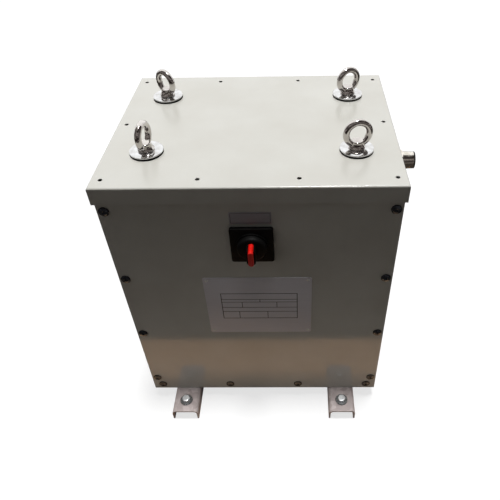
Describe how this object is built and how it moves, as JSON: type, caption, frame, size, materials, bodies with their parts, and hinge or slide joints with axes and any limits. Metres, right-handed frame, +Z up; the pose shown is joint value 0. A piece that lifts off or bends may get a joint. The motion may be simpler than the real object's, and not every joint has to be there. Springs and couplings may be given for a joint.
{
  "type": "enclosed transformer",
  "caption": "Floor-standing three-phase transformer in a painted steel box with main switch, cable gland, lifting eyes and floor rails.",
  "frame": {"origin": "centre of the overall box's underside, on the floor plane; the enclosure's own middle lies 16.75 mm to the left of it, because the gland sticks out on the right", "axes": "+Z up, -Y is the front with the main switch, +X to the right seen from the front, towards the gland"},
  "size_m": [0.4774, 0.455, 0.5653],
  "materials": {
    "cabinet_paint": "satin",
    "bright_steel": "polished",
    "zinc_steel": "satin",
    "galvanised_steel": "satin",
    "black_rubber": "matte",
    "black_plastic": "satin",
    "red_plastic": "satin",
    "grey_plastic": "matte",
    "label_foil": "satin",
    "nickel_brass": "satin",
    "core_steel": "matte",
    "bobbin_board": "matte",
    "winding": "gloss",
    "clamp_steel": "satin",
    "insulating_tube": "matte",
    "lead_black": "matte",
    "lead_brown": "matte"
  },
  "bodies": {
    "cabinet": {"base_tray": "cabinet_paint", "side_wall_left": "cabinet_paint", "side_wall_right": "cabinet_paint", "front_panel": "cabinet_paint", "rear_panel": "cabinet_paint", "top_frame": "cabinet_paint", "lid_nuts": "zinc_steel", "front_panel_screws": "zinc_steel", "rear_panel_screws": "zinc_steel", "panel_nuts": "zinc_steel", "rail_left": "galvanised_steel", "rail_right": "galvanised_steel", "rail_bolts": "zinc_steel", "rail_washers": "zinc_steel", "rail_nuts": "zinc_steel", "switch_plate": "black_plastic", "switch_body": "grey_plastic", "switch_contacts": "nickel_brass", "label_plate": "label_foil", "rating_plate": "label_foil", "plate_rivets": "zinc_steel", "gland_washer": "black_rubber", "gland_body": "nickel_brass", "gland_insert": "black_rubber", "gland_nut": "nickel_brass", "gland_locknut": "nickel_brass", "core": "core_steel", "lower_clamps": "clamp_steel", "upper_clamps": "clamp_steel", "clamp_tubes": "insulating_tube", "clamp_bolts": "zinc_steel", "clamp_nuts": "zinc_steel", "bobbins": "bobbin_board", "inner_windings": "winding", "outer_windings": "winding", "lifting_posts": "zinc_steel", "post_washers": "zinc_steel", "post_nuts": "zinc_steel", "dampers": "black_rubber", "terminal_rail": "zinc_steel", "terminals": "grey_plastic", "end_stops": "grey_plastic", "winding_leads": "lead_black", "switch_leads": "lead_brown", "earth_stud": "nickel_brass"},
    "lid": {"lid": "cabinet_paint", "lid_gasket": "black_rubber", "eye_discs": "bright_steel", "eye_seals": "black_rubber"},
    "eyebolt_front_left": {"eyebolt_front_left": "bright_steel"},
    "eyebolt_front_right": {"eyebolt_front_right": "bright_steel"},
    "eyebolt_back_left": {"eyebolt_back_left": "bright_steel"},
    "eyebolt_back_right": {"eyebolt_back_right": "bright_steel"},
    "switch_handle": {"switch_handle": "black_plastic", "switch_crest": "red_plastic", "switch_shaft": "zinc_steel"}
  },
  "joints": [
    {"name": "lid_lift", "type": "slide", "parent": "cabinet", "child": "lid", "axis": [0, 0, 1], "range_m": [0, 0.12]},
    {"name": "eyebolt_front_left_turn", "type": "hinge", "parent": "lid", "child": "eyebolt_front_left", "pos_m": [-0.17325, -0.0855, 0.5203], "axis": [0, 0, 1], "range_deg": [0, 360]},
    {"name": "eyebolt_front_right_turn", "type": "hinge", "parent": "lid", "child": "eyebolt_front_right", "pos_m": [0.13975, -0.0855, 0.5203], "axis": [0, 0, 1], "range_deg": [0, 360]},
    {"name": "eyebolt_back_left_turn", "type": "hinge", "parent": "lid", "child": "eyebolt_back_left", "pos_m": [-0.17325, 0.0945, 0.5203], "axis": [0, 0, 1], "range_deg": [0, 360]},
    {"name": "eyebolt_back_right_turn", "type": "hinge", "parent": "lid", "child": "eyebolt_back_right", "pos_m": [0.13975, 0.0945, 0.5203], "axis": [0, 0, 1], "range_deg": [0, 360]},
    {"name": "switch_turn", "type": "hinge", "parent": "cabinet", "child": "switch_handle", "pos_m": [-0.01675, -0.1745, 0.4104], "axis": [0, 1, 0], "range_deg": [0, 90]}
  ]
}
